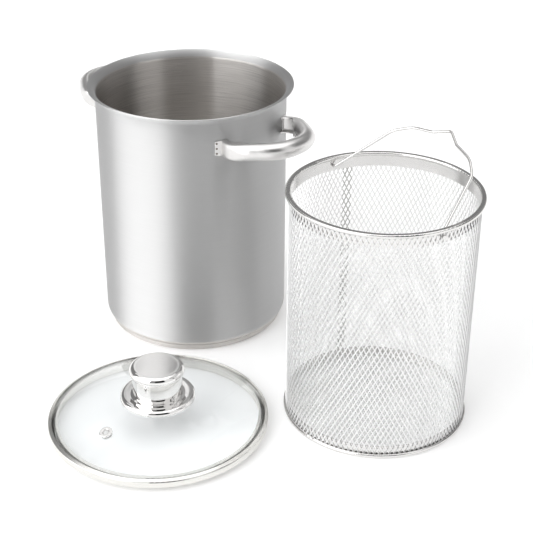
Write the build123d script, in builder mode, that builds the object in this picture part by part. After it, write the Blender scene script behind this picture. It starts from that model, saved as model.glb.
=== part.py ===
"""Pasta pot with a lift-out mesh strainer basket and a glass lid, set out in a row.

Millimetres, +Z up, origin on the floor at the centre of the pot's base. The camera side is -Y.
"""
from build123d import *
from math import asin, atan2, ceil, cos, degrees, hypot, pi, radians, sin, sqrt, tan
import os

os.makedirs("parts", exist_ok=True)

# Pot body: one drawn sheet, straight wall, rounded bottom corner and flared lip
pot_inner_radius = 80.0
pot_wall = 0.8
pot_height = 217.0
pot_corner_radius = 8.0
lip_overhang = 6.1
lip_flat = 0.5

# Sandwich base under the pot: aluminium core in a pressed steel cap
base_cap_inset = 4.0
base_cap_wall = 0.6
base_cap_edge_radius = 1.2
base_core_thickness = 3.4

# Loop handles: rolled strip tubes with flattened ends spot-welded to the wall
handle_bearing = -43.0
handle_drop = 27.0
handle_rise_angle = 5.2
handle_tube_radius = 7.0
handle_sheet = 1.2
handle_seam_gap = 0.9
handle_foot_half_span = 30.0
handle_half_span = 39.4
handle_reach = 44.8
handle_shoulder_share = 0.28
handle_grip_share = 0.414
handle_shoulder_bend = 20.0
handle_grip_round_share = 0.9
tab_height = 12.4
tab_length = 9.0
tab_corner_radius = 1.5
tab_overhang = 4.9
weld_spot_radius = 0.8
weld_spot_rise = 0.25
weld_spot_pitch = 4.2
weld_spot_edge = 1.5
weld_clearance = 0.05

# Strainer basket: expanded-metal wall and floor, clamped in two rolled bands
basket_side_clearance = 5.5
basket_headroom = 21.0
mesh_sheet = 0.7
mesh_strand = 2.4
mesh_columns = 24
mesh_cell_aspect = 1.9
floor_cell_width = 15.0
band_sheet = 0.5
band_clearance = 0.05
top_band_height = 11.4
top_bead_overhang = 2.55
top_bead_height = 2.8
bottom_band_height = 10.0
bottom_bead_overhang = 1.65
bottom_bead_height = 3.4
bead_bulge = 0.7
bead_bend_radius = 1.5
bead_bend_limit_share = 0.42

# Bail: one bent wire that swings on its flattened ends in two holes of the top band
bail_wire_radius = 1.1
bail_bearing = 120.5
bail_lean = 54.0
bail_hole_clearance = 0.1
bail_foot_inset = 2.4
bail_foot_bend = 3.0
bail_shoulder_inset = 22.0
bail_shoulder_height = 49.5
bail_shoulder_bend = 14.0
bail_crown_inset = 13.7
bail_crown_rise = 10.0
bail_crown_bend = 28.0
bail_notch_half_width = 14.5
bail_notch_rise = 4.5
bail_notch_bend = 6.0
bail_peak_rise = 7.6
bail_peak_bend = 5.0
bail_head_length = 6.0
bail_head_width = 2.8
bail_head_thickness = 1.2
bail_head_turn = 70.0
bail_head_gap = 0.4
bail_head_bead_gap = 1.4

# Lid: domed glass in a folded steel ring, with a steam vent
lid_lip_clearance = 0.2
lid_foot_inset = 5.7
lid_foot_width = 1.6
lid_inner_inset = 6.7
lid_shelf_width = 2.0
lid_ring_sheet = 0.6
lid_ring_bend = 0.9
glass_dome_radius = 200.0
glass_rim_height = 8.7
glass_thickness = 3.6
glass_clearance = 0.1
glass_edge_clearance = 0.3
glass_lip_cover = 1.8
vent_distance = 54.8
vent_bearing = -131.3
vent_bore_radius = 2.4
vent_barrel_radius = 3.3
vent_flange_radius = 5.1
vent_flange_thickness = 1.2
vent_rolled_radius = 4.4
vent_clearance = 0.1

# Knob: hollow steel head on a collar and a dished foot, screwed through the glass
knob_sheet = 0.6
knob_foot_radius = 30.0
knob_rim_rise = 2.0
knob_rim_inset = 0.6
knob_rim_bend = 1.5
knob_crest_share = 0.57
knob_crest_rise = 0.5
knob_crest_bend = 3.0
knob_valley_share = 0.19
knob_valley_depth = 0.4
knob_valley_bend = 1.8
knob_collar_radius = 19.5
knob_collar_height = 17.0
knob_head_overhang = 2.0
knob_head_widest_rise = 2.9
knob_head_height = 7.7
knob_head_top_inset = 4.9
knob_head_crown = 0.5
knob_head_lip_width = 2.2
knob_post_radius = 6.0
knob_screw_radius = 2.4
knob_screw_clearance = 0.1
knob_screw_engagement = 12.0
knob_screw_head_radius = 4.6
knob_screw_head_height = 2.6
knob_screw_slot_width = 1.2
knob_screw_slot_depth = 1.1
knob_gasket_radius = 9.0
knob_gasket_thickness = 1.0
knob_sleeve_wall = 1.0
knob_washer_radius = 8.0
knob_washer_thickness = 1.0
knob_joint_clearance = 0.05

# Places in the row, each centre set off from its neighbour's edge
lid_bearing = -96.2
lid_gap = 18.6
basket_bearing = 9.3
basket_gap = 13.4

cut_overrun = 2.0

# Sizes that follow from those above
pot_radius = pot_inner_radius + pot_wall
base_height = base_cap_wall + base_core_thickness
base_cap_radius = pot_radius - base_cap_inset
lip_radius = pot_radius + lip_overhang
lip_bend_radius = lip_overhang - lip_flat
handle_height = pot_height - handle_drop
basket_radius = pot_inner_radius - basket_side_clearance
basket_height = pot_height - base_height - pot_wall - basket_headroom
lid_radius = lip_radius - lid_lip_clearance
lid_distance = pot_radius + lid_gap + lid_radius
lid_x = lid_distance * cos(radians(lid_bearing))
lid_y = lid_distance * sin(radians(lid_bearing))
basket_distance = lid_radius + basket_gap + basket_radius
basket_x = lid_x + basket_distance * cos(radians(basket_bearing))
basket_y = lid_y + basket_distance * sin(radians(basket_bearing))


def save(piece, name):
    """Label a finished piece and write its STEP file."""
    piece.part.label = name
    export_step(piece.part, f"parts/{name}.step")


# Pot body
with BuildPart() as pot_body:
    with BuildSketch(Plane.XZ) as pot_section:
        with BuildLine() as pot_outline:
            FilletPolyline(
                (0, base_height),
                (pot_radius, base_height),
                (pot_radius, pot_height - pot_wall),
                (lip_radius, pot_height - pot_wall),
                radius=[pot_corner_radius, lip_bend_radius],
            )
            offset(amount=pot_wall, side=Side.LEFT)
        make_face()
    revolve(axis=Axis.Z)
save(pot_body, "pot_body")


# Base cap: its upright edge stops just under the pot's rounded corner
def corner_height(radius):
    """Height of the underside of the pot's rounded corner at a radius."""
    across = radius - (pot_radius - pot_corner_radius)
    return base_height + pot_corner_radius - sqrt(pot_corner_radius**2 - max(across, 0) ** 2)


with BuildPart() as base_cap:
    with BuildSketch(Plane.XZ) as cap_section:
        with BuildLine() as cap_outline:
            FilletPolyline(
                (0, 0),
                (base_cap_radius, 0),
                (base_cap_radius, corner_height(base_cap_radius - base_cap_wall) - weld_clearance),
                radius=base_cap_edge_radius,
            )
            offset(amount=base_cap_wall, side=Side.LEFT)
        make_face()
    revolve(axis=Axis.Z)
save(base_cap, "base_cap")

with BuildPart() as base_core:
    with BuildSketch(Plane.XY.offset(base_cap_wall)) as core_disc:
        Circle(base_cap_radius - base_cap_wall - weld_clearance)
    extrude(amount=base_core_thickness)
    chamfer(base_core.edges().group_by(Axis.Z)[0], length=base_cap_edge_radius - base_cap_wall)
save(base_core, "base_core")

# Handles: the same loop on both sides, each with its own spot welds
handle_foot_reach = sqrt(pot_radius**2 - handle_foot_half_span**2)
handle_shoulder = handle_reach * handle_shoulder_share
handle_grip = handle_half_span * handle_grip_share
handle_foot_slope = (handle_half_span - handle_foot_half_span) / handle_shoulder
handle_start_half_span = handle_foot_half_span - handle_foot_slope * handle_tube_radius
handle_grip_turn = pi / 2 - atan2(handle_half_span - handle_grip, handle_reach - handle_shoulder)
handle_grip_bend = handle_grip_round_share * handle_grip / tan(handle_grip_turn / 2)
tab_inner_radius = pot_radius + weld_clearance
tab_outer_radius = tab_inner_radius + handle_sheet
tube_edge_angle = degrees(asin((handle_foot_half_span + handle_tube_radius) / pot_radius))
tab_overhang_angle = tube_edge_angle + degrees(tab_overhang / pot_radius)
tab_angle = tab_overhang_angle - degrees(tab_length / 2 / tab_outer_radius)
weld_angle = tab_overhang_angle - degrees(weld_spot_edge / tab_outer_radius)


def radial_plane(bearing, height, reach=0.0, centre=(0, 0)):
    """Plane facing outward from a vertical axis, its X along the wall and its Y up."""
    out = (cos(radians(bearing)), sin(radians(bearing)))
    origin = (centre[0] + reach * out[0], centre[1] + reach * out[1], height)
    return Plane(origin=origin, x_dir=(-out[1], out[0], 0), z_dir=(out[0], out[1], 0))


for side_name, bearing in (("right", handle_bearing), ("left", handle_bearing + 180)):
    out = (cos(radians(bearing)), sin(radians(bearing)))
    rise = radians(handle_rise_angle)
    loop_plane = Plane(
        origin=(handle_foot_reach * out[0], handle_foot_reach * out[1], handle_height),
        x_dir=(out[0] * cos(rise), out[1] * cos(rise), sin(rise)),
        z_dir=(-out[0] * sin(rise), -out[1] * sin(rise), cos(rise)),
    )
    with BuildPart() as handle:
        # Welded tabs that follow the wall
        with BuildSketch(Plane.XY.offset(handle_height - tab_height)) as tab_ring:
            Circle(tab_outer_radius)
            Circle(tab_inner_radius, mode=Mode.SUBTRACT)
        extrude(amount=2 * tab_height)
        with BuildSketch(
            radial_plane(bearing - tab_angle, handle_height), radial_plane(bearing + tab_angle, handle_height)
        ) as tab_outlines:
            RectangleRounded(tab_length, tab_height, tab_corner_radius)
        extrude(amount=tab_outer_radius + cut_overrun, mode=Mode.INTERSECT)
        # Rolled tube, open along its inner side, swept round the loop
        with BuildLine(loop_plane) as loop:
            FilletPolyline(
                (-handle_tube_radius, -handle_start_half_span),
                (handle_shoulder, -handle_half_span),
                (handle_reach, -handle_grip),
                (handle_reach, handle_grip),
                (handle_shoulder, handle_half_span),
                (-handle_tube_radius, handle_start_half_span),
                radius=[handle_shoulder_bend, handle_grip_bend, handle_grip_bend, handle_shoulder_bend],
            )
        with BuildSketch(Plane(origin=loop.line @ 0, x_dir=loop_plane.z_dir, z_dir=loop.line % 0)) as strip:
            Circle(handle_tube_radius)
            Circle(handle_tube_radius - handle_sheet, mode=Mode.SUBTRACT)
            with Locations((0, handle_tube_radius)):
                Rectangle(handle_seam_gap, 2 * handle_tube_radius, mode=Mode.SUBTRACT)
        tube = sweep(mode=Mode.PRIVATE)
        # The feet end on the pot's wall
        with Locations((0, 0, handle_height)):
            wall = Cylinder(tab_inner_radius, 6 * handle_tube_radius, mode=Mode.PRIVATE)
        add(tube - wall)
    save(handle, f"handle_{side_name}")

    with BuildPart() as welds:
        spots = [
            radial_plane(bearing + side * weld_angle, handle_height + step * weld_spot_pitch)
            for side in (-1, 1)
            for step in (-1, 0, 1)
        ]
        with BuildSketch(*spots) as weld_outlines:
            Circle(weld_spot_radius)
        extrude(amount=tab_outer_radius + weld_spot_rise)
        with Locations((0, 0, handle_height)):
            Cylinder(tab_outer_radius, 2 * tab_height, mode=Mode.SUBTRACT)
    save(welds, f"handle_{side_name}_welds")

# Strainer basket. The wall mesh is clamped outside the two bands, the floor mesh stands inside
mesh_radius = basket_radius - top_bead_overhang
mesh_inner_radius = mesh_radius - mesh_sheet
band_inner_radius = mesh_inner_radius - band_clearance - band_sheet
bead_inner_radius = band_inner_radius - bead_bulge
pivot_height = basket_height - top_bead_height - bail_head_bead_gap - bail_head_length / 2
basket_centre = (basket_x, basket_y)
basket_section = Plane(origin=(basket_x, basket_y, 0), x_dir=(1, 0, 0), z_dir=(0, -1, 0))
basket_axis = Axis((basket_x, basket_y, 0), (0, 0, 1))


def diamond(half_width, half_height):
    """Corners of an opening, drawn in so that the strands between openings keep their width."""
    inradius = half_width * half_height / hypot(half_width, half_height)
    kept_share = 1 - mesh_strand / 2 / inradius
    return [
        (half_width * kept_share, 0),
        (0, half_height * kept_share),
        (-half_width * kept_share, 0),
        (0, -half_height * kept_share),
    ]


# Wall mesh: staggered rows of diamonds between the bands, sized to close round the wall
mesh_bottom = bottom_bead_height - mesh_sheet
mesh_top = basket_height - top_bead_height + mesh_sheet
open_bottom = bottom_band_height
open_top = basket_height - top_band_height
cell_half_width = pi * mesh_radius / mesh_columns
mesh_rows = ceil((open_top - open_bottom) / (cell_half_width * mesh_cell_aspect)) - 1
cell_half_height = (open_top - open_bottom) / (mesh_rows + 1)
wall_openings = [
    radial_plane(
        (column + row / 2) * 360 / mesh_columns,
        open_bottom + (row + 1) * cell_half_height,
        mesh_inner_radius - cut_overrun,
        basket_centre,
    )
    for row in range(mesh_rows)
    for column in range(mesh_columns)
]
with BuildPart() as basket_wall:
    with BuildSketch(Plane.XY.offset(mesh_bottom)) as wall_ring:
        with Locations(basket_centre):
            Circle(mesh_radius)
            Circle(mesh_inner_radius, mode=Mode.SUBTRACT)
    extrude(amount=mesh_top - mesh_bottom)
    with BuildSketch(*wall_openings) as wall_diamonds:
        Polygon(*diamond(cell_half_width, cell_half_height), align=None)
    extrude(amount=mesh_sheet + 2 * cut_overrun, mode=Mode.SUBTRACT)
    with BuildSketch(radial_plane(bail_bearing, pivot_height, 0, basket_centre)) as pivot_holes:
        Circle(bail_wire_radius + bail_hole_clearance)
    extrude(amount=mesh_radius + cut_overrun, both=True, mode=Mode.SUBTRACT)
save(basket_wall, "basket_wall")

# Floor mesh: the same diamonds laid flat, inside a plain rim that stands on the bottom band
floor_radius = band_inner_radius - band_clearance
floor_half_width = floor_cell_width / 2
floor_half_height = floor_half_width * mesh_cell_aspect
floor_columns = ceil(floor_radius / floor_cell_width)
floor_rows = ceil(floor_radius / floor_half_height)
floor_cells = [
    ((column + row % 2 / 2) * floor_cell_width, row * floor_half_height)
    for row in range(-floor_rows, floor_rows + 1)
    for column in range(-floor_columns, floor_columns + 1)
]
floor_openings = [
    (basket_x + x, basket_y + y)
    for x, y in floor_cells
    if max(hypot(abs(x) + floor_half_width, y), hypot(x, abs(y) + floor_half_height)) < floor_radius
]
with BuildPart() as basket_floor:
    with BuildSketch(Plane.XY.offset(bottom_bead_height + band_clearance)) as floor_net:
        with Locations(basket_centre):
            Circle(floor_radius)
        with Locations(*floor_openings):
            Polygon(*diamond(floor_half_width, floor_half_height), align=None, mode=Mode.SUBTRACT)
    extrude(amount=mesh_sheet)
save(basket_floor, "basket_floor")


def rolled_band(edge_height, rim_height, bead_overhang, bead_height, pivot_planes=()):
    """Sheet band inside the mesh, bulged and rolled out over its edge to a bead."""
    up = 1 if rim_height > edge_height else -1
    neck_height = rim_height - up * bead_height
    bead_radius = mesh_radius + bead_overhang
    bend = min(bead_bend_radius, min(bead_height, 2 * bead_overhang) * bead_bend_limit_share)
    with BuildPart() as band:
        with BuildSketch(basket_section) as band_section:
            with BuildLine() as band_outline:
                FilletPolyline(
                    (band_inner_radius, edge_height),
                    (band_inner_radius, neck_height),
                    (bead_inner_radius, neck_height + up * bead_bulge),
                    (bead_inner_radius, rim_height),
                    (bead_radius, rim_height),
                    (bead_radius, neck_height),
                    (mesh_radius + band_clearance, neck_height),
                    radius=[bead_bulge / 2, bead_bulge * 3 / 2, bend, bend, bend],
                )
                offset(amount=band_sheet, side=Side.RIGHT if up > 0 else Side.LEFT)
            make_face()
        revolve(axis=basket_axis)
        if pivot_planes:
            with BuildSketch(*pivot_planes) as band_holes:
                Circle(bail_wire_radius + bail_hole_clearance)
            extrude(amount=mesh_inner_radius, both=True, mode=Mode.SUBTRACT)
    return band


pivot_plane = radial_plane(bail_bearing, pivot_height, 0, basket_centre)
top_band = rolled_band(open_top, basket_height, top_bead_overhang, top_bead_height, [pivot_plane])
save(top_band, "basket_top_band")
bottom_band = rolled_band(open_bottom, 0, bottom_bead_overhang, bottom_bead_height)
save(bottom_band, "basket_bottom_band")

# Bail: one wire, bent in its own plane, its flattened ends outside the mesh
bail_head_reach = mesh_radius + bail_head_gap
bail_end_reach = bail_head_reach + bail_head_thickness / 2
bail_foot_reach = band_inner_radius - bail_foot_inset
bail_shoulder_reach = band_inner_radius - bail_shoulder_inset
bail_crown_reach = bail_shoulder_reach - bail_crown_inset
bail_crown_height = bail_shoulder_height + bail_crown_rise
bail_notch_height = bail_crown_height + bail_notch_rise
bail_peak_height = bail_notch_height + bail_peak_rise
bail_axis = Vector(cos(radians(bail_bearing)), sin(radians(bail_bearing)), 0)
bail_forward = Vector(bail_axis.Y, -bail_axis.X, 0) * sin(radians(bail_lean))
bail_rise = bail_forward + Vector(0, 0, cos(radians(bail_lean)))
bail_plane = Plane(
    origin=(basket_x, basket_y, pivot_height), x_dir=bail_axis, z_dir=bail_axis.cross(bail_rise)
)
with BuildPart() as bail:
    with BuildLine(bail_plane) as bail_line:
        FilletPolyline(
            (-bail_end_reach, 0),
            (-bail_foot_reach, 0),
            (-bail_shoulder_reach, bail_shoulder_height),
            (-bail_crown_reach, bail_crown_height),
            (-bail_notch_half_width, bail_notch_height),
            (0, bail_peak_height),
            (bail_notch_half_width, bail_notch_height),
            (bail_crown_reach, bail_crown_height),
            (bail_shoulder_reach, bail_shoulder_height),
            (bail_foot_reach, 0),
            (bail_end_reach, 0),
            radius=[
                bail_foot_bend,
                bail_shoulder_bend,
                bail_crown_bend,
                bail_notch_bend,
                bail_peak_bend,
                bail_notch_bend,
                bail_crown_bend,
                bail_shoulder_bend,
                bail_foot_bend,
            ],
        )
    with BuildSketch(Plane(origin=bail_line.line @ 0, z_dir=bail_line.line % 0)) as wire:
        Circle(bail_wire_radius)
    sweep()
    for side, bearing in ((1, bail_bearing), (-1, bail_bearing + 180)):
        with BuildSketch(radial_plane(bearing, pivot_height, bail_head_reach, basket_centre)) as bail_head:
            SlotOverall(bail_head_length, bail_head_width, rotation=90 + side * (bail_lean + bail_head_turn))
        extrude(amount=bail_head_thickness)
save(bail, "bail")

# Lid ring: one folded sheet that clasps the glass, its slanted side made to nest in the pot's lip
lid_section = Plane(origin=(lid_x, lid_y, 0), x_dir=(1, 0, 0), z_dir=(0, -1, 0))
lid_axis = Axis((lid_x, lid_y, 0), (0, 0, 1))
lid_centre = (lid_x, lid_y)
glass_radius = lid_radius - lid_ring_sheet - glass_edge_clearance
lip_inner_radius = glass_radius - glass_lip_cover
lid_foot_radius = lid_radius - lid_foot_inset
lid_inner_radius = lid_radius - lid_inner_inset
shelf_radius = lid_inner_radius - lid_shelf_width
glass_crown_height = glass_rim_height + glass_dome_radius - sqrt(glass_dome_radius**2 - glass_radius**2)
lip_rise = glass_clearance + lid_ring_sheet
shelf_rise = -glass_thickness - lip_rise


def dome_height(radius, rise=0.0):
    """Height of the glass's upper face at a radius, or of a face that runs a rise above it."""
    return glass_crown_height - glass_dome_radius + sqrt((glass_dome_radius + rise) ** 2 - radius**2)


def dome_arc(inner_radius, outer_radius, rise=0.0):
    """Arc that follows the dome from one radius to another."""
    middle = (inner_radius + outer_radius) / 2
    return ThreePointArc(
        (inner_radius, dome_height(inner_radius, rise)),
        (middle, dome_height(middle, rise)),
        (outer_radius, dome_height(outer_radius, rise)),
    )


lid_wall_foot_height = dome_height(glass_radius, -glass_thickness) - lid_ring_sheet
lid_foot_bend = min(lid_ring_bend, lid_foot_width / 2)
with BuildPart() as lid_ring:
    with BuildSketch(lid_section) as ring_section:
        with BuildLine() as ring_outline:
            FilletPolyline(
                (lip_inner_radius, dome_height(lip_inner_radius, lip_rise)),
                (lid_radius, dome_height(lid_radius, lip_rise)),
                (lid_radius, lid_wall_foot_height),
                (lid_foot_radius, 0),
                (lid_foot_radius - lid_foot_width, 0),
                (lid_inner_radius, dome_height(lid_inner_radius, shelf_rise)),
                (shelf_radius, dome_height(shelf_radius, shelf_rise)),
                radius=[lid_ring_bend] * 2 + [lid_foot_bend] * 2 + [lid_ring_bend],
            )
            offset(amount=lid_ring_sheet, side=Side.RIGHT)
        make_face()
    revolve(axis=lid_axis)
save(lid_ring, "lid_ring")

# Lid glass: drilled for the knob and, square to its slope, for the vent
vent_tilt = asin(vent_distance / glass_dome_radius)
vent_out = Vector(cos(radians(vent_bearing)), sin(radians(vent_bearing)), 0)
vent_rise = vent_out * sin(vent_tilt) + Vector(0, 0, cos(vent_tilt))
vent_slope = vent_out * cos(vent_tilt) - Vector(0, 0, sin(vent_tilt))
vent_seat = Vector(lid_x, lid_y, glass_crown_height - glass_dome_radius) + vent_rise * glass_dome_radius
knob_bore_radius = knob_screw_radius + knob_screw_clearance
sleeve_radius = knob_bore_radius + knob_sleeve_wall
with BuildPart() as lid_glass:
    with BuildSketch(lid_section) as glass_section:
        with BuildLine() as glass_outline:
            dome_arc(0, glass_radius)
            dome_arc(0, glass_radius, -glass_thickness)
            Line((0, dome_height(0)), (0, dome_height(0, -glass_thickness)))
            Line(
                (glass_radius, dome_height(glass_radius)),
                (glass_radius, dome_height(glass_radius, -glass_thickness)),
            )
        make_face()
    revolve(axis=lid_axis)
    with BuildSketch(Plane.XY.offset(glass_crown_height)) as knob_hole:
        with Locations(lid_centre):
            Circle(sleeve_radius + knob_screw_clearance)
    extrude(amount=glass_thickness + cut_overrun, both=True, mode=Mode.SUBTRACT)
    with BuildSketch(Plane(origin=vent_seat, z_dir=vent_rise)) as vent_hole:
        Circle(vent_barrel_radius + vent_clearance)
    extrude(amount=glass_thickness + cut_overrun, both=True, mode=Mode.SUBTRACT)
save(lid_glass, "lid_glass")

# Steam vent: a tubular rivet, rolled over under the glass
vent_depth = glass_thickness + vent_clearance
vent_plane = Plane(origin=vent_seat, x_dir=vent_slope, z_dir=vent_slope.cross(vent_rise))
with BuildPart() as vent_eyelet:
    with BuildSketch(vent_plane) as vent_section:
        with BuildLine() as vent_outline:
            Polyline(
                (vent_bore_radius, vent_flange_thickness),
                (vent_flange_radius, vent_flange_thickness),
                (vent_flange_radius, 0),
                (vent_barrel_radius, 0),
                (vent_barrel_radius, -vent_depth),
                (vent_rolled_radius, -vent_depth),
                (vent_rolled_radius, -vent_depth - vent_flange_thickness),
                (vent_bore_radius, -vent_depth - vent_flange_thickness),
                close=True,
            )
        make_face()
        rims = vent_section.vertices().group_by(Axis.Y)
        fillet(rims[-1] + rims[0].sort_by(Axis.X)[-1:], radius=vent_flange_thickness / 2 - vent_clearance)
    revolve(axis=Axis(vent_seat, vent_rise))
save(vent_eyelet, "vent_eyelet")

# Knob foot: a dished plate on the upper gasket, its rim just above the glass
knob_seat_height = glass_crown_height + knob_gasket_thickness
knob_base_height = knob_seat_height + knob_sheet
knob_rim_radius = knob_foot_radius - knob_rim_inset
knob_rim_height = dome_height(knob_foot_radius) + knob_rim_rise
knob_foot_width = knob_foot_radius - knob_collar_radius
knob_valley_radius = knob_collar_radius + knob_foot_width * knob_valley_share
knob_crest_radius = knob_collar_radius + knob_foot_width * knob_crest_share
with BuildPart() as knob_foot:
    with BuildSketch(lid_section) as foot_section:
        with BuildLine() as foot_outline:
            FilletPolyline(
                (knob_bore_radius, knob_base_height),
                (knob_collar_radius, knob_base_height),
                (knob_valley_radius, knob_base_height - knob_valley_depth),
                (knob_crest_radius, knob_base_height + knob_crest_rise),
                (knob_foot_radius, knob_rim_height),
                (knob_rim_radius, dome_height(knob_rim_radius, glass_clearance)),
                radius=[knob_valley_bend, knob_valley_bend, knob_crest_bend, knob_rim_bend],
            )
            offset(amount=knob_sheet, side=Side.RIGHT)
        make_face()
    revolve(axis=lid_axis)
save(knob_foot, "knob_foot")

# Knob collar: a tube between the foot and the head
knob_neck_height = knob_base_height + knob_collar_height
with BuildPart() as knob_collar:
    with BuildSketch(Plane.XY.offset(knob_base_height)) as collar_ring:
        with Locations(lid_centre):
            Circle(knob_collar_radius)
            Circle(knob_collar_radius - knob_sheet, mode=Mode.SUBTRACT)
    extrude(amount=knob_collar_height)
save(knob_collar, "knob_collar")

# Knob head: a hollow cap with a lip turned in over the collar
knob_head_radius = knob_collar_radius + knob_head_overhang
knob_head_top_radius = knob_head_radius - knob_head_top_inset
knob_head_edge_height = knob_neck_height + knob_head_height
crown_radius = (knob_head_top_radius**2 + knob_head_crown**2) / (2 * knob_head_crown)


def crown_height(radius):
    """Height of the knob's slightly domed top at a radius."""
    return knob_head_edge_height + knob_head_crown - crown_radius + sqrt(crown_radius**2 - radius**2)


with BuildPart() as knob_head:
    with BuildSketch(lid_section) as head_section:
        with BuildLine() as head_outline:
            Line(
                (knob_collar_radius - knob_head_lip_width, knob_neck_height),
                (knob_collar_radius, knob_neck_height),
            )
            ThreePointArc(
                (knob_collar_radius, knob_neck_height),
                (knob_head_radius, knob_neck_height + knob_head_widest_rise),
                (knob_head_top_radius, knob_head_edge_height),
            )
            ThreePointArc(
                (knob_head_top_radius, knob_head_edge_height),
                (knob_head_top_radius / 2, crown_height(knob_head_top_radius / 2)),
                (0, crown_height(0)),
            )
            offset(amount=knob_sheet, side=Side.LEFT)
        make_face()
    revolve(axis=lid_axis)
save(knob_head, "knob_head")

# Knob post: threaded from below, up to the underside of the head
post_top_height = crown_height(knob_post_radius) - knob_sheet - knob_joint_clearance
with BuildPart() as knob_post:
    with BuildSketch(Plane.XY.offset(knob_base_height)) as post_disc:
        with Locations(lid_centre):
            Circle(knob_post_radius)
    extrude(amount=post_top_height - knob_base_height)
    with BuildSketch(Plane.XY.offset(knob_base_height)) as post_bore:
        with Locations(lid_centre):
            Circle(knob_bore_radius)
    extrude(amount=knob_screw_engagement + cut_overrun, mode=Mode.SUBTRACT)
save(knob_post, "knob_post")

# Gaskets: each has one face shaped to the dome; the lower one lines the hole in the glass
with BuildPart() as knob_gasket_upper:
    with BuildSketch(lid_section) as upper_section:
        with BuildLine() as upper_outline:
            seat_arc = dome_arc(knob_bore_radius, knob_gasket_radius, knob_joint_clearance)
            Polyline(
                seat_arc @ 1,
                (knob_gasket_radius, knob_seat_height),
                (knob_bore_radius, knob_seat_height),
                seat_arc @ 0,
            )
        make_face()
    revolve(axis=lid_axis)
save(knob_gasket_upper, "knob_gasket_upper")

gasket_bottom_height = dome_height(knob_gasket_radius, -glass_thickness) - knob_gasket_thickness
with BuildPart() as knob_gasket_lower:
    with BuildSketch(lid_section) as lower_section:
        with BuildLine() as lower_outline:
            seat_arc = dome_arc(sleeve_radius, knob_gasket_radius, -glass_thickness - knob_joint_clearance)
            Polyline(
                seat_arc @ 1,
                (knob_gasket_radius, gasket_bottom_height),
                (knob_bore_radius, gasket_bottom_height),
                (knob_bore_radius, glass_crown_height),
                (sleeve_radius, glass_crown_height),
                seat_arc @ 0,
            )
        make_face()
    revolve(axis=lid_axis)
save(knob_gasket_lower, "knob_gasket_lower")

with BuildPart() as knob_washer:
    with BuildSketch(Plane.XY.offset(gasket_bottom_height)) as washer_ring:
        with Locations(lid_centre):
            Circle(knob_washer_radius)
            Circle(knob_bore_radius, mode=Mode.SUBTRACT)
    extrude(amount=-knob_washer_thickness)
save(knob_washer, "knob_washer")

# Knob screw: slotted head under the washer
screw_head_top = gasket_bottom_height - knob_washer_thickness
with BuildPart() as knob_screw:
    with BuildSketch(Plane.XY.offset(screw_head_top)) as screw_shank:
        with Locations(lid_centre):
            Circle(knob_screw_radius)
    extrude(amount=knob_base_height + knob_screw_engagement - screw_head_top)
    with BuildSketch(Plane.XY.offset(screw_head_top)) as screw_head:
        with Locations(lid_centre):
            Circle(knob_screw_head_radius)
    extrude(amount=-knob_screw_head_height)
    with BuildSketch(Plane.XY.offset(screw_head_top - knob_screw_head_height)) as screw_slot:
        with Locations(lid_centre):
            Rectangle(2 * knob_screw_head_radius + cut_overrun, knob_screw_slot_width)
    extrude(amount=knob_screw_slot_depth, mode=Mode.SUBTRACT)
save(knob_screw, "knob_screw")
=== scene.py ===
"""Looks of the pasta pot, its mesh strainer basket and its glass lid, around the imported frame."""
from math import asin, atan2, copysign, cos, hypot, pi, radians, sin, tan

import bmesh
import bpy
from mathutils import Matrix, Vector


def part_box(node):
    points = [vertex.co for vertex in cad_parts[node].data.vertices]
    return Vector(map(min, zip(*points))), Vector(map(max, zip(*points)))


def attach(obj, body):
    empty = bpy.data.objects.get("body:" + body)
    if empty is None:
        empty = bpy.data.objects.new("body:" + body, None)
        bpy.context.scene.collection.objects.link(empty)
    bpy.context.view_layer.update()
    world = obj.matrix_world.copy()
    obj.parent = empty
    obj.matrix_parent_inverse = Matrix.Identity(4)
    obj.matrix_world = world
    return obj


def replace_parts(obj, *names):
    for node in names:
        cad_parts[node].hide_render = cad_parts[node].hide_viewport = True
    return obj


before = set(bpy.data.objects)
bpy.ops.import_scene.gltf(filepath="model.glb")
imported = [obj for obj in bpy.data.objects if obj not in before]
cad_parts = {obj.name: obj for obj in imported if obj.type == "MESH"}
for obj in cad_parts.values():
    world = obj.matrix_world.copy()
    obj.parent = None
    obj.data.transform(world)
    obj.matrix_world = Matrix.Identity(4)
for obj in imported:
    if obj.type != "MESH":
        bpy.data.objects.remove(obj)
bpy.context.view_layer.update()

# Camera, measured from the photograph: place in metres, angles in degrees, focal length in its pixels
CAMERA_PLACE = (0.06448, -0.98697, 0.57806)
CAMERA_PITCH = 28.55
CAMERA_ROLL = 0.29
PHOTO_WIDTH = 533
FOCAL_PIXELS = 1236.07
SENSOR_WIDTH = 36.0

# Studio: cards by direction in degrees, azimuth 0 towards the camera and positive to its right
CARDS = (
    # azimuths, elevations, strength
    ((-100.0, -26.0), (-5.0, 58.0), 2.6),
    ((-26.0, -4.0), (14.0, 58.0), 0.3),
    ((-4.0, 38.0), (14.0, 58.0), 0.03),
    ((38.0, 74.0), (10.0, 58.0), 0.9),
    ((74.0, 109.0), (14.0, 58.0), 0.2),
    ((109.0, 150.0), (14.0, 50.0), 0.3),
    ((-135.0, -100.0), (14.0, 50.0), 0.25),
    ((150.0, 183.0), (12.0, 42.0), 0.22),
    ((-183.0, -177.4), (12.0, 42.0), 0.22),
    ((-171.4, -135.0), (12.0, 42.0), 0.22),
)
OVERHEAD_ELEVATION = 60.0
OVERHEAD_STRENGTH = 1.6
ROOM_STRENGTH = 1.0
EDGE_SOFTNESS = 0.6
FLOOR_HALF_WIDTH = 6.0
FLOOR_GLOW = 0.20
FLOOR_GREYS = (0.89, 0.91)
FLOOR_GRAIN = 3.0

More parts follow.
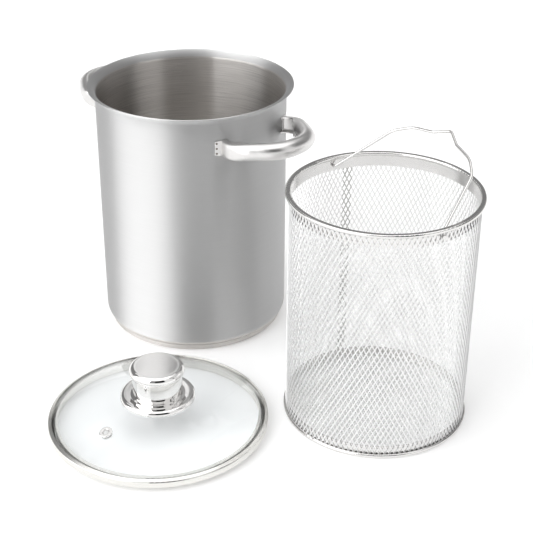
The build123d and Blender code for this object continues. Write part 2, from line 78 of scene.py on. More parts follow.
# Finishes: colour, roughness, and how far brushing draws out the highlights
POT_FINISH = ((0.80, 0.80, 0.80, 1.0), 0.66, 1.0)
# Inner colour, darker and warmer than the outer one: painted shade of the pot's hollow; its lower roughness
# is the inner finish
POT_INNER_SHADE_AND_FINISH = ((0.76, 0.735, 0.71, 1.0), 0.33)
HANDLE_FINISH = ((0.80, 0.79, 0.78, 1.0), 0.3, 0.0)
BASKET_FINISH = ((0.91, 0.91, 0.91, 1.0), 0.3, 0.0)
# Darker steel of the wall's lap at the seam: painted shade where the sheet lies over itself
SEAM_LAP_PAINTED_SHADE = ((0.58, 0.58, 0.57, 1.0), 0.35, 0.0)
BAND_FINISH = ((0.82, 0.81, 0.80, 1.0), 0.18, 0.3)
RING_FINISH = ((0.84, 0.83, 0.80, 1.0), 0.26, 0.5)
KNOB_FINISH = ((0.88, 0.87, 0.86, 1.0), 0.05, 0.0)

# Plain parts: colour, roughness and metal share
WELD_LOOK = ((0.22, 0.19, 0.17, 1.0), 0.45, 1.0)
CORE_LOOK = ((0.75, 0.75, 0.76, 1.0), 0.4, 1.0)
GASKET_LOOK = ((0.78, 0.78, 0.76, 1.0), 0.5, 0.0)

# Grain of the finishes: lines by the metre, shares of the colour and of the roughness, depths in metres
BRUSH_LINES = 1500.0
POT_BRUSH_LINES = 3000.0
BRUSH_TURNS = 2.0
BRUSH_DETAIL = 4.0
BRUSH_ANGLE = 0.25
POT_BRUSH_BUMP = 0.1
STREAK_SHADE = 0.9
STREAK_LIMITS = (0.2, 0.8)
STREAK_SPREAD = 0.1
INNER_SHADE = 0.8
INNER_STREAK_LIMITS = (0.35, 0.65)
INNER_SPREAD = 0.2
GRAIN_SCALE = 900.0
GRAIN_SHADE = 0.85
GRAIN_BUMP = 0.3
BUMP_DEPTH = 0.0001

# Glass
GLASS_TINT = (0.975, 0.985, 0.985, 1.0)
GLASS_SHADOW_TINT = (0.955, 0.965, 0.97, 1.0)
GLASS_INDEX = 1.5
GLASS_WAVES = 30.0
GLASS_RIPPLE = 0.05
GLASS_RIPPLE_DEPTH = 0.0002

# Expanded metal of the basket, at its real scale
CELL_WIDTH = 0.00396
CELL_HEIGHT = 0.0078
STRAND_WIDTH = 0.00076
STRAND_THICKNESS = 0.0004
STRAND_TILT = 0.0002
SEAM_BEARING = 106.5
LAP_COLUMNS = 2

# Turned pieces of the lid, in metres
SEGMENTS = 160
ARC_STEPS = 10
SHARP_ANGLE = 40.0
KNOB_SHEET = 0.0006
KNOB_BORE = 0.0025
KNOB_LIP_WIDTH = 0.0022
KNOB_OVERHANG = 0.0020
KNOB_WIDEST_RISE = 0.0029
KNOB_EDGE_RISE = 0.0077
KNOB_TOP_INSET = 0.0049
FOOT_RADIUS = 0.0297
FOOT_RIM_INSET = 0.0002
FOOT_CREST_SHARE = 0.50
FOOT_CREST_RISE = 0.0003
FOOT_VALLEY_SHARE = 0.19
FOOT_VALLEY_DEPTH = 0.0004
FOOT_BENDS = (0.0018, 0.0018, 0.0010, 0.0033)
DOME_RADIUS = 0.2000
VENT_BEARING = -131.3
VENT_DISTANCE = 0.0548
VENT_BORE = 0.0024
VENT_BARREL = 0.0033
VENT_FLANGE = 0.0051
VENT_ROLLED = 0.0044
VENT_FLANGE_THICKNESS = 0.0012
VENT_DEPTH = 0.0037
VENT_BEND = 0.0005
GLASS_CLEARANCE = 0.0001

# Handles, in metres and degrees: a rolled strip, opened and squared where it meets the pot
HANDLE_BEARING = -43.0
HALF_TURN = 180.0
HANDLE_RISE = 5.2
HANDLE_RADIUS = 0.0070
HANDLE_SHEET = 0.0012
HANDLE_FOOT_HALF_SPAN = 0.0300
HANDLE_HALF_SPAN = 0.0394
HANDLE_REACH = 0.0448
HANDLE_SHOULDER = 0.28 * HANDLE_REACH
HANDLE_GRIP = 0.414 * HANDLE_HALF_SPAN
HANDLE_SHOULDER_BEND = 0.0200
HANDLE_GRIP_SHARE = 0.9
HANDLE_STEP = 0.0012
HANDLE_SQUARE_UNTIL = 0.008
HANDLE_ROUND_FROM = 0.024
HANDLE_END_POWER = 6.0
HANDLE_SLIT = 4.0
HANDLE_END_SLIT = 102.0
HANDLE_SIDES = 36
POT_RADIUS = 0.0808
TAB_CLEARANCE = 0.00005
TAB_HALF_HEIGHT = 0.0062
TAB_LENGTH = 0.0090
TAB_CORNER = 0.0015
TAB_OVERHANG = 0.0049
TAB_COLUMNS = 18

# Pot's finish: the radius between its inner and outer faces, and how wide the change between them is
POT_WALL_MIDDLE = 0.0804
POT_WALL_BLEND = 0.0003


def node(tree, kind, inputs=None, **settings):
    """Add a shader node, set it, and join or set its inputs."""
    made = tree.nodes.new(kind)
    for name, value in settings.items():
        setattr(made, name, value)
    for name, value in (inputs or {}).items():
        give(tree, made.inputs[name], value)
    return made


def give(tree, socket, value):
    """Join a socket to another one, or set it to a value."""
    if isinstance(value, bpy.types.NodeSocket):
        tree.links.new(value, socket)
    else:
        socket.default_value = value


def calc(tree, operation, *values):
    """Output of a math node."""
    made = tree.nodes.new("ShaderNodeMath")
    made.operation = operation
    for socket, value in zip(made.inputs, values):
        give(tree, socket, value)
    return made.outputs[0]


def ramp(tree, value, low, high, to_low=0.0, to_high=1.0):
    """Smooth step of a value from one level to another."""
    made = node(tree, "ShaderNodeMapRange", {"Value": value}, interpolation_type="SMOOTHSTEP")
    for name, level in (("From Min", low), ("From Max", high), ("To Min", to_low), ("To Max", to_high)):
        give(tree, made.inputs[name], level)
    return made.outputs["Result"]


def window(tree, value, limits, soft):
    """1 between two limits and 0 outside them, with soft edges."""
    rise = ramp(tree, value, limits[0] - soft, limits[0] + soft)
    fall = ramp(tree, value, limits[1] - soft, limits[1] + soft, 1.0, 0.0)
    return calc(tree, "MULTIPLY", rise, fall)


def mix_colour(tree, factor, first, second):
    """Colour between two colours."""
    made = node(tree, "ShaderNodeMix", {"Factor": factor}, data_type="RGBA")
    give(tree, made.inputs[6], first)
    give(tree, made.inputs[7], second)
    return made.outputs[2]


def grey(level):
    """Neutral colour of a level."""
    return (level, level, level, 1.0)


def set_world():
    """White room, and the cards and the overhead light that reflections and shading see in it."""
    world = bpy.data.worlds.new("studio")
    bpy.context.scene.world = world
    world.use_nodes = True
    tree = world.node_tree
    tree.nodes.clear()
    direction = node(tree, "ShaderNodeTexCoord").outputs["Generated"]
    x, y, z = node(tree, "ShaderNodeSeparateXYZ", {"Vector": direction}).outputs
    azimuth = calc(tree, "DEGREES", calc(tree, "ARCTAN2", x, calc(tree, "MULTIPLY", y, -1.0)))
    elevation = calc(tree, "DEGREES", calc(tree, "ARCSINE", z))
    above = ramp(tree, elevation, OVERHEAD_ELEVATION - EDGE_SOFTNESS, OVERHEAD_ELEVATION + EDGE_SOFTNESS)
    level = mix_colour(tree, above, grey(ROOM_STRENGTH), grey(OVERHEAD_STRENGTH))
    for azimuths, elevations, strength in CARDS:
        across = window(tree, azimuth, azimuths, EDGE_SOFTNESS)
        up = window(tree, elevation, elevations, EDGE_SOFTNESS)
        level = mix_colour(tree, calc(tree, "MULTIPLY", across, up), level, grey(strength))
    rays = node(tree, "ShaderNodeLightPath").outputs
    seen = calc(tree, "MAXIMUM", rays["Is Camera Ray"], rays["Is Transmission Ray"])
    colour = mix_colour(tree, seen, level, grey(ROOM_STRENGTH))
    background = node(tree, "ShaderNodeBackground", {"Color": colour})
    output = node(tree, "ShaderNodeOutputWorld")
    tree.links.new(background.outputs[0], output.inputs["Surface"])


def new_material(name):
    """Empty node material, its tree and its output's surface socket."""
    material = bpy.data.materials.new(name)
    material.use_nodes = True
    tree = material.node_tree
    tree.nodes.clear()
    return material, tree, node(tree, "ShaderNodeOutputMaterial").inputs["Surface"]


def floor_material():
    """White paper that keeps the shadows."""
    material, tree, surface = new_material("studio_floor")
    grain = node(tree, "ShaderNodeTexNoise", {"Scale": FLOOR_GRAIN, "Detail": 2.0}).outputs[0]
    colour = mix_colour(tree, grain, *map(grey, FLOOR_GREYS))
    paper = node(tree, "ShaderNodeBsdfDiffuse", {"Color": colour}).outputs[0]
    glow = node(tree, "ShaderNodeEmission", {"Strength": FLOOR_GLOW}).outputs[0]
    both = node(tree, "ShaderNodeAddShader")
    tree.links.new(paper, both.inputs[0])
    tree.links.new(glow, both.inputs[1])
    rays = node(tree, "ShaderNodeLightPath").outputs
    seen = calc(tree, "MAXIMUM", rays["Is Camera Ray"], rays["Is Transmission Ray"])
    seen = calc(tree, "MAXIMUM", seen, rays["Is Glossy Ray"])
    pick = node(tree, "ShaderNodeMixShader", {0: seen})
    tree.links.new(paper, pick.inputs[1])
    tree.links.new(both.outputs[0], pick.inputs[2])
    tree.links.new(pick.outputs[0], surface)
    return material


def set_floor():
    """Large plain floor under the row."""
    half = FLOOR_HALF_WIDTH
    mesh = bpy.data.meshes.new("floor")
    corners = [(-half, -half, 0), (half, -half, 0), (half, half, 0), (-half, half, 0)]
    mesh.from_pydata(corners, [], [(0, 1, 2, 3)])
    floor = bpy.data.objects.new("floor", mesh)
    bpy.context.scene.collection.objects.link(floor)
    mesh.materials.append(floor_material())


def set_camera():
    """Camera at the photograph's place."""
    data = bpy.data.cameras.new("camera")
    data.sensor_width = SENSOR_WIDTH
    data.lens = SENSOR_WIDTH * FOCAL_PIXELS / PHOTO_WIDTH
    camera = bpy.data.objects.new("camera", data)
    bpy.context.scene.collection.objects.link(camera)
    pitch = Matrix.Rotation(radians(90 - CAMERA_PITCH), 4, "X")
    roll = Matrix.Rotation(radians(CAMERA_ROLL), 4, "Z")
    camera.matrix_world = Matrix.Translation(CAMERA_PLACE) @ (pitch @ roll)
    bpy.context.scene.camera = camera


def around(tree, centre):
    """Direction from a vertical axis, as x and y, then the distance from it and the height."""
    place = node(tree, "ShaderNodeTexCoord").outputs["Object"]
    parts = node(tree, "ShaderNodeSeparateXYZ", {"Vector": place}).outputs
    x = calc(tree, "SUBTRACT", parts[0], centre[0])
    y = calc(tree, "SUBTRACT", parts[1], centre[1])
    reach = calc(tree, "SQRT", calc(tree, "ADD", calc(tree, "MULTIPLY", x, x), calc(tree, "MULTIPLY", y, y)))
    return calc(tree, "DIVIDE", x, reach), calc(tree, "DIVIDE", y, reach), reach, parts[2]


def brush_lines(tree, centre, lines):
    """Noise drawn out round an axis, as brushing leaves it."""
    x, y, reach, height = around(tree, centre)
    across = calc(tree, "MULTIPLY", calc(tree, "ADD", height, reach), lines)
    place = node(
        tree,
        "ShaderNodeCombineXYZ",
        {0: calc(tree, "MULTIPLY", x, BRUSH_TURNS), 1: calc(tree, "MULTIPLY", y, BRUSH_TURNS), 2: across},
    ).outputs[0]
    inputs = {"Vector": place, "Scale": 1.0, "Detail": BRUSH_DETAIL}
    return node(tree, "ShaderNodeTexNoise", inputs).outputs[0]


def shaded(colour, share):
    """Colour darkened to a share of itself."""
    return tuple(share * c for c in colour[:3]) + (1.0,)


def spread(value, share):
    """Limits that lie a share below and above a value."""
    return value * (1 - share), value * (1 + share)


def steel(name, finish, centre, bump=0.0, lines=BRUSH_LINES, inside=None):
    """Steel, brushed round an axis or polished; inside gives the pot's inner roughness, and its inner
    colour, which is painted shade of the hollow.
    """
    colour, roughness, brushed = finish
    material, tree, surface = new_material(name)
    streaks = brush_lines(tree, centre, lines)
    tint = mix_colour(tree, streaks, shaded(colour, STREAK_SHADE), colour)
    rough = ramp(tree, streaks, *STREAK_LIMITS, *spread(roughness, STREAK_SPREAD))
    if inside:
        # The inner colour is painted shade of the pot's hollow, darker and warmer than the outside
        inner_shaded_colour, inner_roughness = inside
        reach = around(tree, centre)[2]
        inner = ramp(tree, reach, POT_WALL_MIDDLE, POT_WALL_MIDDLE - POT_WALL_BLEND)
        lit = ramp(tree, streaks, *INNER_STREAK_LIMITS)
        inner_shaded_tint = mix_colour(tree, lit, shaded(inner_shaded_colour, INNER_SHADE), inner_shaded_colour)
        inner_rough = ramp(tree, streaks, *STREAK_LIMITS, *spread(inner_roughness, INNER_SPREAD))
        tint = mix_colour(tree, inner, tint, inner_shaded_tint)
        rough = ramp(tree, inner, 0.0, 1.0, rough, inner_rough)
    inputs = {
        "Base Color": tint,
        "Metallic": 1.0,
        "Roughness": rough,
        "Anisotropic": brushed,
        "Anisotropic Rotation": BRUSH_ANGLE,
        "Tangent": node(tree, "ShaderNodeTangent", direction_type="RADIAL", axis="Z").outputs[0],
    }
    if bump:
        height = node(tree, "ShaderNodeBump", {"Height": streaks, "Strength": bump, "Distance": BUMP_DEPTH})
        inputs["Normal"] = height.outputs[0]
    shader = node(tree, "ShaderNodeBsdfPrincipled", inputs)
    tree.links.new(shader.outputs[0], surface)
    return material


def glass_material():
    """Clear tempered glass that lets light through to the floor."""
    material, tree, surface = new_material("tempered_glass")
    waves = node(tree, "ShaderNodeTexNoise", {"Scale": GLASS_WAVES, "Detail": 1.0}).outputs[0]
    bump = {"Height": waves, "Strength": GLASS_RIPPLE, "Distance": GLASS_RIPPLE_DEPTH}
    clear = node(
        tree,
        "ShaderNodeBsdfPrincipled",
        {
            "Base Color": GLASS_TINT,
            "Roughness": 0.0,
            "IOR": GLASS_INDEX,
            "Transmission Weight": 1.0,
            "Normal": node(tree, "ShaderNodeBump", bump).outputs[0],
        },
    )
    shadow = node(tree, "ShaderNodeBsdfTransparent", {"Color": GLASS_SHADOW_TINT})
    rays = node(tree, "ShaderNodeLightPath").outputs
    light = calc(tree, "MAXIMUM", rays["Is Shadow Ray"], rays["Is Diffuse Ray"])
    pick = node(tree, "ShaderNodeMixShader", {0: light})
    tree.links.new(clear.outputs[0], pick.inputs[1])
    tree.links.new(shadow.outputs[0], pick.inputs[2])
    tree.links.new(pick.outputs[0], surface)
    return material


def plain_material(name, look):
    """Matt part with a fine grain."""
    colour, roughness, metallic = look
    material, tree, surface = new_material(name)
    grain = node(tree, "ShaderNodeTexNoise", {"Scale": GRAIN_SCALE, "Detail": 3.0}).outputs[0]
    bump = {"Height": grain, "Strength": GRAIN_BUMP, "Distance": BUMP_DEPTH}
    inputs = {
        "Base Color": mix_colour(tree, grain, shaded(colour, GRAIN_SHADE), colour),
        "Metallic": metallic,
        "Roughness": roughness,
        "Normal": node(tree, "ShaderNodeBump", bump).outputs[0],
    }
    shader = node(tree, "ShaderNodeBsdfPrincipled", inputs)
    tree.links.new(shader.outputs[0], surface)
    return material


def dress(material, *names):
    """Give CAD nodes a material."""
    for name in names:
        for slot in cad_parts[name].material_slots:
            slot.material = material


def add_piece(name, points, faces, material, body, smooth=False):
    """New mesh piece that rides on a body."""
    mesh = bpy.data.meshes.new(name)
    mesh.from_pydata(points, [], faces)
    mesh.materials.append(material)
    if smooth:
        mesh.shade_smooth()
    piece = bpy.data.objects.new(name, mesh)
    bpy.context.scene.collection.objects.link(piece)
    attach(piece, body)
    return piece


def arc(first, through, last):
    """Points of the arc through three points."""
    (ax, ay), (bx, by), (cx, cy) = first, through, last
    twice = 2 * (ax * (by - cy) + bx * (cy - ay) + cx * (ay - by))
    squares = [x * x + y * y for x, y in (first, through, last)]
    x = (squares[0] * (by - cy) + squares[1] * (cy - ay) + squares[2] * (ay - by)) / twice
    y = (squares[0] * (cx - bx) + squares[1] * (ax - cx) + squares[2] * (bx - ax)) / twice
    start, middle, end = (atan2(q - y, p - x) for p, q in (first, through, last))
    if not min(start, end) < middle < max(start, end):
        end -= copysign(2 * pi, end - start)
    radius = hypot(ax - x, ay - y)
    angles = [start + (end - start) * step / (2 * ARC_STEPS) for step in range(2 * ARC_STEPS + 1)]
    return [(x + radius * cos(angle), y + radius * sin(angle)) for angle in angles]


def rounded(corners, bends):
    """Outline through corners, of which all but the ends are rounded by their bends."""
    outline = [corners[0]]
    for before, corner, after, bend in zip(corners, corners[1:], corners[2:], bends):
        into = (Vector(corner) - Vector(before)).normalized()
        out = (Vector(after) - Vector(corner)).normalized()
        turn = atan2(into.x * out.y - into.y * out.x, into.dot(out))
        side = Vector((-into.y, into.x)) * copysign(bend, turn)
        middle = Vector(corner) - into * bend * tan(abs(turn) / 2) + side
        for step in range(ARC_STEPS + 1):
            outline.append(tuple(middle - Matrix.Rotation(turn * step / ARC_STEPS, 2) @ side))
    return outline + [corners[-1]]


def sheet_outline(outline, thickness):
    """Closed outline of a sheet whose one face is the outline; it is thickened to its right."""
    back = []
    for number, point in enumerate(outline):
        before = Vector(outline[max(number - 1, 0)])
        after = Vector(outline[min(number + 1, len(outline) - 1)])
        along = (after - before).normalized()
        shifted = Vector(point) + Vector((along.y, -along.x)) * thickness
        back.append((0.0 if point[0] == 0 else shifted.x, shifted.y))
    return outline + back[::-1]


def turned(name, outline, origin, material, axis=(0, 0, 1)):
    """Piece of the lid made by turning a closed outline of radii and heights round its axis."""
    points = []
    rings = []
    for radius, height in outline:
        count = SEGMENTS if radius > 0 else 1
        rings.append([len(points) + number for number in range(count)])
        angles = [2 * pi * number / SEGMENTS for number in range(count)]
        points += [(radius * cos(angle), radius * sin(angle), height) for angle in angles]
    faces = []
    for ring, following in zip(rings, rings[1:] + rings[:1]):
        for number in range(SEGMENTS):
            here = [ring[number % len(ring)], ring[(number + 1) % len(ring)]]
            there = [following[(number + 1) % len(following)], following[number % len(following)]]
            corners = list(dict.fromkeys(here + there))
            if len(corners) > 2:
                faces.append(corners)
    piece = add_piece(name, points, faces, material, "lid", smooth=True)
    tidy_shape(piece)
    lean = Vector((0, 0, 1)).rotation_difference(Vector(axis)).to_matrix().to_4x4()
    piece.data.transform(Matrix.Translation(origin) @ lean)
    return piece


def knob(material):
    """Head, collar and foot of the knob, smoother than the frame's."""
    collar_low, collar_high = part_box("knob_collar")
    collar_radius = (collar_high.x - collar_low.x) / 2
    neck, base = collar_high.z, collar_low.z
    head_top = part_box("knob_head")[1].z
    origin = (*lid_centre, 0.0)
    edge_radius = collar_radius + KNOB_OVERHANG - KNOB_TOP_INSET
    edge = neck + KNOB_EDGE_RISE
    crown = (edge_radius**2 + (head_top - edge) ** 2) / (2 * (head_top - edge))
    half = edge_radius / 2
    head = [(collar_radius - KNOB_LIP_WIDTH, neck)]
    widest = (collar_radius + KNOB_OVERHANG, neck + KNOB_WIDEST_RISE)
    halfway = (half, head_top - crown + (crown**2 - half**2) ** 0.5)
    head += arc((collar_radius, neck), widest, (edge_radius, edge))
    head += arc((edge_radius, edge), halfway, (0.0, head_top))[1:-1]
    head.append((0.0, head_top))
    piece = turned("knob_head_smooth", sheet_outline(head, -KNOB_SHEET), origin, material)
    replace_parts(piece, "knob_head")

    inner = collar_radius - KNOB_SHEET
    tube = [(collar_radius, base), (collar_radius, neck), (inner, neck), (inner, base)]
    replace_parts(turned("knob_collar_smooth", tube, origin, material), "knob_collar")

    width = FOOT_RADIUS - collar_radius
    rim_radius = FOOT_RADIUS - FOOT_RIM_INSET
    foot = rounded(
        [
            (KNOB_BORE, base),
            (collar_radius, base),
            (collar_radius + width * FOOT_VALLEY_SHARE, base - FOOT_VALLEY_DEPTH),
            (collar_radius + width * FOOT_CREST_SHARE, base + FOOT_CREST_RISE),
            (FOOT_RADIUS, base + FOOT_CREST_RISE),
            (rim_radius, dome_height(rim_radius) + GLASS_CLEARANCE),
        ],
        FOOT_BENDS,
    )
    piece = turned("knob_foot_smooth", sheet_outline(foot, KNOB_SHEET), origin, material)
    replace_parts(piece, "knob_foot")


def dome_height(radius):
    """Height of the glass's upper face at a radius."""
    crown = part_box("lid_glass")[1].z
    return crown - DOME_RADIUS + (DOME_RADIUS**2 - radius**2) ** 0.5


def eyelet(material):
    """Rivet of the vent, square to the slope of the glass."""
    tilt = asin(VENT_DISTANCE / DOME_RADIUS)
    bearing = radians(VENT_BEARING)
    rise = Vector((cos(bearing) * sin(tilt), sin(bearing) * sin(tilt), cos(tilt)))
    seat = Vector((*lid_centre, dome_height(0.0) - DOME_RADIUS)) + rise * DOME_RADIUS
    foot = -VENT_DEPTH - VENT_FLANGE_THICKNESS
    middle = (VENT_BORE + VENT_BARREL) / 2
    outline = rounded(
        [
            (VENT_BORE, (VENT_FLANGE_THICKNESS + foot) / 2),
            (VENT_BORE, VENT_FLANGE_THICKNESS),
            (VENT_FLANGE, VENT_FLANGE_THICKNESS),
            (VENT_FLANGE, 0.0),
            (VENT_BARREL, 0.0),
        ],
        (VENT_BEND, VENT_BEND, 0.0),
    )
    outline += rounded(
        [
            (VENT_BARREL, -VENT_DEPTH),
            (VENT_ROLLED, -VENT_DEPTH),
            (VENT_ROLLED, foot),
            (middle, foot),
            (VENT_BORE, foot),
        ],
        (0.0, VENT_BEND, 0.0),
    )
    piece = turned("vent_eyelet_smooth", outline, seat, material, rise)
    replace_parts(piece, "vent_eyelet")


def spaced(outline, step):
    """Points along a line at even steps, each with its direction and its distance from the start."""
    places = []
    travelled = 0.0
    for here, there in zip(outline, outline[1:]):
        leg = Vector(there) - Vector(here)
        if leg.length == 0:
            continue
        count = max(1, round(leg.length / step))
        for number in range(count):
            share = (number + 0.5) / count
            places.append((Vector(here) + leg * share, leg.normalized(), travelled + leg.length * share))
        travelled += leg.length
    return places, travelled


def skin(points, faces, rings):
    """Add a capped skin over closed rings of equal counts."""
    start = len(points)
    count = len(rings[0])
    for ring in rings:
        points += ring
    for row in range(len(rings) - 1):
        for number in range(count):
            here = start + row * count + number
            along = start + row * count + (number + 1) % count
            faces.append((here, along, along + count, here + count))
    faces.append([start + number for number in range(count)])
    faces.append([start + (len(rings) - 1) * count + number for number in range(count)])


def strip_section(squareness, slit):
    """Closed outline of the rolled strip, as outward and upward distances, open on its inner side."""
    power = 2.0 + squareness * (HANDLE_END_POWER - 2.0)
    reach = pi - radians(slit)
    angles = [reach * (2 * number / HANDLE_SIDES - 1) for number in range(HANDLE_SIDES + 1)]
    outline = []
    for radius, turns in ((HANDLE_RADIUS, angles), (HANDLE_RADIUS - HANDLE_SHEET, angles[::-1])):
        for angle in turns:
            size = (abs(cos(angle)) ** power + abs(sin(angle)) ** power) ** (-1 / power)
            outline.append((radius * size * cos(angle), radius * size * sin(angle)))
    return outline


def on_wall(point, direction):
    """Where a line through a point meets the outside of the pot's wall."""
    flat = Vector((direction.x, direction.y))
    place = Vector((point.x, point.y))
    radius = POT_RADIUS + TAB_CLEARANCE
    a, b, c = flat.dot(flat), place.dot(flat), place.dot(place) - radius**2
    return point + direction * ((-b + max(b * b - a * c, 0.0) ** 0.5) / a)


def handle_rings(bearing, height):
    """Rings of a handle's strip, from one foot on the pot's wall to the other."""
    out = Vector((cos(bearing), sin(bearing), 0.0))
    rise = radians(HANDLE_RISE)
    ahead = out * cos(rise) + Vector((0.0, 0.0, sin(rise)))
    up = Vector((0.0, 0.0, cos(rise))) - out * sin(rise)
    side = up.cross(ahead)
    origin = out * (POT_RADIUS**2 - HANDLE_FOOT_HALF_SPAN**2) ** 0.5 + Vector((0.0, 0.0, height))
    slope = (HANDLE_HALF_SPAN - HANDLE_FOOT_HALF_SPAN) / HANDLE_SHOULDER
    start = HANDLE_FOOT_HALF_SPAN - slope * HANDLE_RADIUS
    turn = pi / 2 - atan2(HANDLE_HALF_SPAN - HANDLE_GRIP, HANDLE_REACH - HANDLE_SHOULDER)
    grip_bend = HANDLE_GRIP_SHARE * HANDLE_GRIP / tan(turn / 2)
    half = [(-HANDLE_RADIUS, start), (HANDLE_SHOULDER, HANDLE_HALF_SPAN), (HANDLE_REACH, HANDLE_GRIP)]
    corners = [(x, -y) for x, y in half] + half[::-1]
    line = rounded(corners, (HANDLE_SHOULDER_BEND, grip_bend, grip_bend, HANDLE_SHOULDER_BEND))
    places, length = spaced(line, HANDLE_STEP)
    foot = HANDLE_RADIUS * hypot(1.0, slope)

    def ring(place, forward, travelled):
        """Points of the strip at one place of the loop."""
        gone = min(travelled, length - travelled) - foot
        share = min(max((HANDLE_ROUND_FROM - gone) / (HANDLE_ROUND_FROM - HANDLE_SQUARE_UNTIL), 0.0), 1.0)
        share = share * share * (3 - 2 * share)
        slit = HANDLE_SLIT + share * (HANDLE_END_SLIT - HANDLE_SLIT)
        outward = ahead * forward.y - side * forward.x
        centre = origin + ahead * place.x + side * place.y
        return [centre + outward * a + up * b for a, b in strip_section(share, slit)]

    rings = [ring(*place) for place in places]
    nearest = [min(hypot(p.x, p.y) for p in points) for points in rings]
    clear = [number for number, reach in enumerate(nearest) if reach > POT_RADIUS + HANDLE_STEP]
    kept = rings[clear[0]:clear[-1] + 1]
    ends = []
    for points, forward in ((kept[0], places[0][1]), (kept[-1], places[-1][1])):
        direction = ahead * forward.x + side * forward.y
        if points is kept[0]:
            ends.append([on_wall(p, direction) for p in points])
        else:
            ends.append([on_wall(p, direction * -1.0) for p in points])
    return [ends[0]] + kept + [ends[1]]


def tab_rings(bearing, height, side):
    """Rings of a tab that follows the pot's wall, beside one foot of a handle."""
    inner = POT_RADIUS + TAB_CLEARANCE
    outer = inner + HANDLE_SHEET
    far = asin((HANDLE_FOOT_HALF_SPAN + HANDLE_RADIUS) / POT_RADIUS) + TAB_OVERHANG / POT_RADIUS
    rings = []
    for number in range(TAB_COLUMNS + 1):
        gone = TAB_CORNER * (1 - cos(pi / 2 * number / (TAB_COLUMNS / 2)))
        if number > TAB_COLUMNS / 2:
            gone = TAB_CORNER + (TAB_LENGTH - TAB_CORNER) * (number / (TAB_COLUMNS / 2) - 1)
        inset = TAB_CORNER - max(TAB_CORNER**2 - max(TAB_CORNER - gone, 0.0) ** 2, 0.0) ** 0.5
        reach = TAB_HALF_HEIGHT - inset
        angle = bearing + side * (far - gone / outer)
        corners = ((inner, -reach), (inner, reach), (outer, reach), (outer, -reach))
        rings.append([Vector((r * cos(angle), r * sin(angle), height + z)) for r, z in corners])
    return rings


def handle(name, bearing, material):
    """Handle of one side with its two tabs, its feet squared and open as in the photograph."""
    weld_low, weld_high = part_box(name + "_welds")
    height = (weld_low.z + weld_high.z) / 2
    points, faces = [], []
    skin(points, faces, handle_rings(radians(bearing), height))
    for side in (-1, 1):
        skin(points, faces, tab_rings(radians(bearing), height, side))
    piece = add_piece(name + "_smooth", points, faces, material, "pot", smooth=True)
    tidy_shape(piece)
    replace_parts(piece, name)


def tidy_shape(piece):
    """Faces the right way round and sharp edges where the shape has them."""
    shape = bmesh.new()
    shape.from_mesh(piece.data)
    bmesh.ops.recalc_face_normals(shape, faces=shape.faces)
    shape.to_mesh(piece.data)
    shape.free()
    piece.data.set_sharp_from_angle(angle=radians(SHARP_ANGLE))


def middle_of(name):
    """Centre of a node's box, as x and y."""
    low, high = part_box(name)
    return ((low.x + high.x) / 2, (low.y + high.y) / 2)


def expanded_metal(rows, columns, kept, place):
    """Points and faces of a sheet of staggered diamond openings, which take up a kept share of their cells.

    place(u, v, lift) gives a point from its column, its half row and its lift off the sheet. Each
    opening has eight points, counter-clockwise from its right corner. Its upper strands are pressed
    in and its lower ones out, as the slitting and stretching of the sheet leaves them.
    """
    reach, rise = kept / 2, kept
    outline = [
        (reach, 0.0, 0.0),
        (reach / 2, rise / 2, -1.0),
        (0.0, rise, -0.5),
        (-reach / 2, rise / 2, -1.0),
        (-reach, 0.0, 0.0),
        (-reach / 2, -rise / 2, 1.0),
        (0.0, -rise, 0.5),
        (reach / 2, -rise / 2, 1.0),
    ]
    right, right_top, top, left_top, left, left_low, low, right_low = range(len(outline))
    numbers = {}
    points = []
    for row in rows:
        for column in columns:
            spot = (column + row % 2 / 2, row)
            if place(*spot, 0.0) is None:
                continue
            numbers[row, column] = len(points)
            points += [place(spot[0] + u, spot[1] + v, lift * STRAND_TILT, True) for u, v, lift in outline]

    def corners(*wanted):
        """Point numbers of corners of openings, without those of openings that aren't there."""
        return [numbers[key] + corner for key, corner in wanted if key in numbers]

    faces = []
    for row, column in numbers:
        here = (row, column)
        above_right = (row + 1, column + row % 2)
        above_left = (row + 1, column - 1 + row % 2)
        below_right = (row - 1, column + row % 2)
        faces += [
            corners((here, right), (above_right, low), (above_right, left_low), (here, right_top)),
            corners((here, right_top), (above_right, left_low), (above_right, left), (here, top)),
            corners((here, top), (above_left, right), (above_left, right_low), (here, left_top)),
            corners((here, left_top), (above_left, right_low), (above_left, low), (here, left)),
            corners((here, right), (below_right, top), ((row, column + 1), left), (above_right, low)),
        ]
    return points, [face for face in faces if len(face) > 3]


def kept_share(width, height):
    """Share of a cell's width and height that the opening takes up."""
    inradius = (width / 2) * (height / 2) / hypot(width / 2, height / 2)
    return 1 - STRAND_WIDTH / 2 / inradius


def thicken(piece, thickness):
    """Give a sheet its thickness, half to each side."""
    solid = piece.modifiers.new("sheet", "SOLIDIFY")
    solid.thickness = thickness
    solid.offset = 0.0
    solid.use_even_offset = False


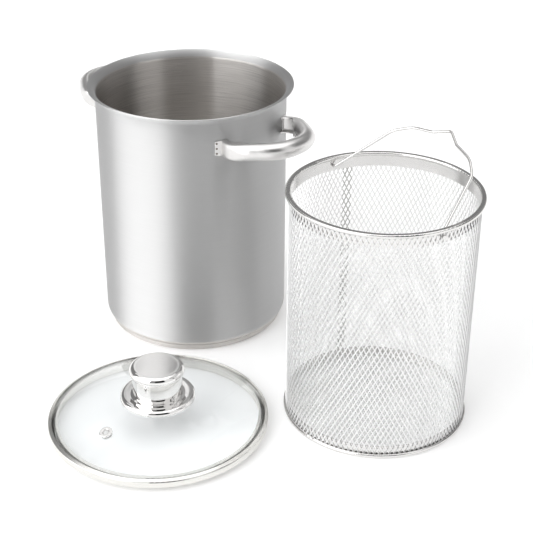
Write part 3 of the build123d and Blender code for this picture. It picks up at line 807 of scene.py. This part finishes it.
def basket_wall(material, lap_shade_material):
    """Wall of the basket, wrapped round and lapped over itself at the seam."""
    low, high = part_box("basket_wall")
    centre = middle_of("basket_wall")
    radius = (high.x - low.x) / 2 - STRAND_THICKNESS
    columns = round(2 * pi * radius / CELL_WIDTH)
    half_rows = round(2 * (high.z - low.z) / CELL_HEIGHT)
    half_height = (high.z - low.z) / half_rows

    def place(u, v, lift, bounded=False):
        """Point of the wall; it runs a sheet's thickness further out where it laps."""
        if bounded:
            v = min(max(v, 0), half_rows)
        lap = 1.0 if u > columns else 0.0
        angle = radians(SEAM_BEARING) + 2 * pi * u / columns
        reach = radius + lift + lap * STRAND_THICKNESS / 2
        return (centre[0] + reach * cos(angle), centre[1] + reach * sin(angle), low.z + v * half_height)

    kept = kept_share(2 * pi * radius / columns, 2 * half_height)
    points, faces = expanded_metal(range(half_rows + 1), range(columns + LAP_COLUMNS), kept, place)
    piece = add_piece("basket_wall_mesh", points, faces, material, "basket")
    # The lapped columns take the darker steel: painted shade between the two layers of the sheet
    piece.data.materials.append(lap_shade_material)
    for face in piece.data.polygons:
        turn = atan2(face.center.y - centre[1], face.center.x - centre[0]) - radians(SEAM_BEARING)
        if turn % (2 * pi) < 2 * pi * LAP_COLUMNS / columns:
            face.material_index = 1
    thicken(piece, STRAND_THICKNESS)
    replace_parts(piece, "basket_wall")


def basket_floor(material):
    """Floor of the basket, cut to a disc."""
    low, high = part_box("basket_floor")
    centre = middle_of("basket_floor")
    radius = (high.x - low.x) / 2
    height = (low.z + high.z) / 2
    columns = round(radius / CELL_WIDTH) + 1
    half_rows = round(2 * radius / CELL_HEIGHT) + 1

    def place(u, v, lift, bounded=False):
        """Point of the floor, drawn in to the edge of the disc."""
        x, y = u * CELL_WIDTH, v * CELL_HEIGHT / 2
        distance = hypot(x, y)
        if bounded:
            pull = min(1.0, radius / max(distance, STRAND_WIDTH))
            return (centre[0] + x * pull, centre[1] + y * pull, height + lift)
        return None if distance > radius + CELL_HEIGHT / 2 else (x, y, lift)

    kept = kept_share(CELL_WIDTH, CELL_HEIGHT)
    rows, across = range(-half_rows, half_rows + 1), range(-columns, columns + 1)
    points, faces = expanded_metal(rows, across, kept, place)
    piece = add_piece("basket_floor_mesh", points, faces, material, "basket")
    thicken(piece, STRAND_THICKNESS)
    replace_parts(piece, "basket_floor")


pot_centre = middle_of("pot_body")
basket_centre = middle_of("basket_wall")
lid_centre = middle_of("lid_ring")

set_world()
set_floor()
set_camera()

pot_steel = steel("pot_steel", POT_FINISH, pot_centre, POT_BRUSH_BUMP, POT_BRUSH_LINES, POT_INNER_SHADE_AND_FINISH)
handle_steel = steel("handle_steel", HANDLE_FINISH, pot_centre)
basket_steel = steel("basket_steel", BASKET_FINISH, basket_centre)
# Darker steel for the lap of the basket's wall: painted shade between its two layers
lap_shaded_steel = steel("lap_shaded_steel", SEAM_LAP_PAINTED_SHADE, basket_centre)
band_steel = steel("band_steel", BAND_FINISH, basket_centre)
ring_steel = steel("ring_steel", RING_FINISH, lid_centre)
knob_steel = steel("knob_steel", KNOB_FINISH, lid_centre)
weld_steel = plain_material("weld_steel", WELD_LOOK)
core_metal = plain_material("core_aluminium", CORE_LOOK)
gasket_rubber = plain_material("gasket_rubber", GASKET_LOOK)

dress(pot_steel, "pot_body", "base_cap")
dress(handle_steel, "handle_right", "handle_left")
dress(weld_steel, "handle_right_welds", "handle_left_welds")
dress(core_metal, "base_core")
dress(basket_steel, "basket_wall", "basket_floor")
dress(band_steel, "basket_top_band", "basket_bottom_band", "bail")
dress(ring_steel, "lid_ring")
dress(glass_material(), "lid_glass")
dress(knob_steel, "vent_eyelet", "knob_foot", "knob_collar", "knob_head")
dress(knob_steel, "knob_screw", "knob_washer", "knob_post")
dress(gasket_rubber, "knob_gasket_upper", "knob_gasket_lower")

handle("handle_right", HANDLE_BEARING, handle_steel)
handle("handle_left", HANDLE_BEARING + HALF_TURN, handle_steel)
basket_wall(basket_steel, lap_shaded_steel)
basket_floor(basket_steel)
knob(knob_steel)
eyelet(knob_steel)

bpy.context.scene.view_settings.view_transform = "Standard"
